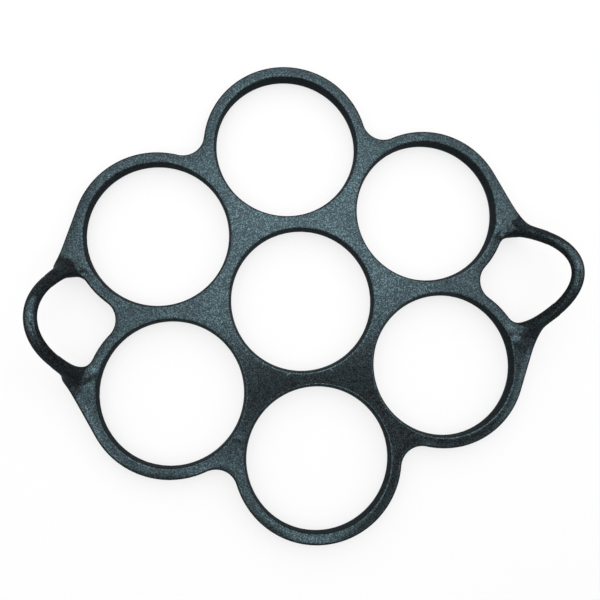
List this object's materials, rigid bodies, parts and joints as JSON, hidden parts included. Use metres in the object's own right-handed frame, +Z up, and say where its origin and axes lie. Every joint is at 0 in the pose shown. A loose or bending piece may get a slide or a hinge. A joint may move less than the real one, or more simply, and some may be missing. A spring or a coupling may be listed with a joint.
{
  "type": "silicone pancake mold",
  "caption": "Flat silicone pancake mold with round batter openings packed in a thick plate and a flexible lifting loop at each end.",
  "frame": {"origin": "centre of the outer box, on the underside of the plate", "axes": "+X from the left loop to the right loop, +Y to the rear ring, +Z up from the pan"},
  "size_m": [0.2616, 0.2424, 0.044],
  "materials": {
    "silicone": "satin, fine grain"
  },
  "bodies": {
    "mold_plate": {"ring_plate": "silicone", "left_neck_front": "silicone", "left_neck_rear": "silicone", "right_neck_front": "silicone", "right_neck_rear": "silicone"},
    "left_loop": {"left_handle": "silicone"},
    "right_loop": {"right_handle": "silicone"}
  },
  "joints": [
    {"name": "left_handle_flex", "type": "hinge", "parent": "mold_plate", "child": "left_loop", "pos_m": [-0.11853, 0, 0.0175], "axis": [0, -1, 0], "range_deg": [-46.6, 68.4], "stiffness_Nm_per_rad": 0.06, "deforming": ["left_neck_front", "left_neck_rear"]},
    {"name": "right_handle_flex", "type": "hinge", "parent": "mold_plate", "child": "right_loop", "pos_m": [0.11417, 0, 0.0175], "axis": [0, 1, 0], "range_deg": [-59.2, 55.8], "stiffness_Nm_per_rad": 0.06, "deforming": ["right_neck_front", "right_neck_rear"]}
  ]
}
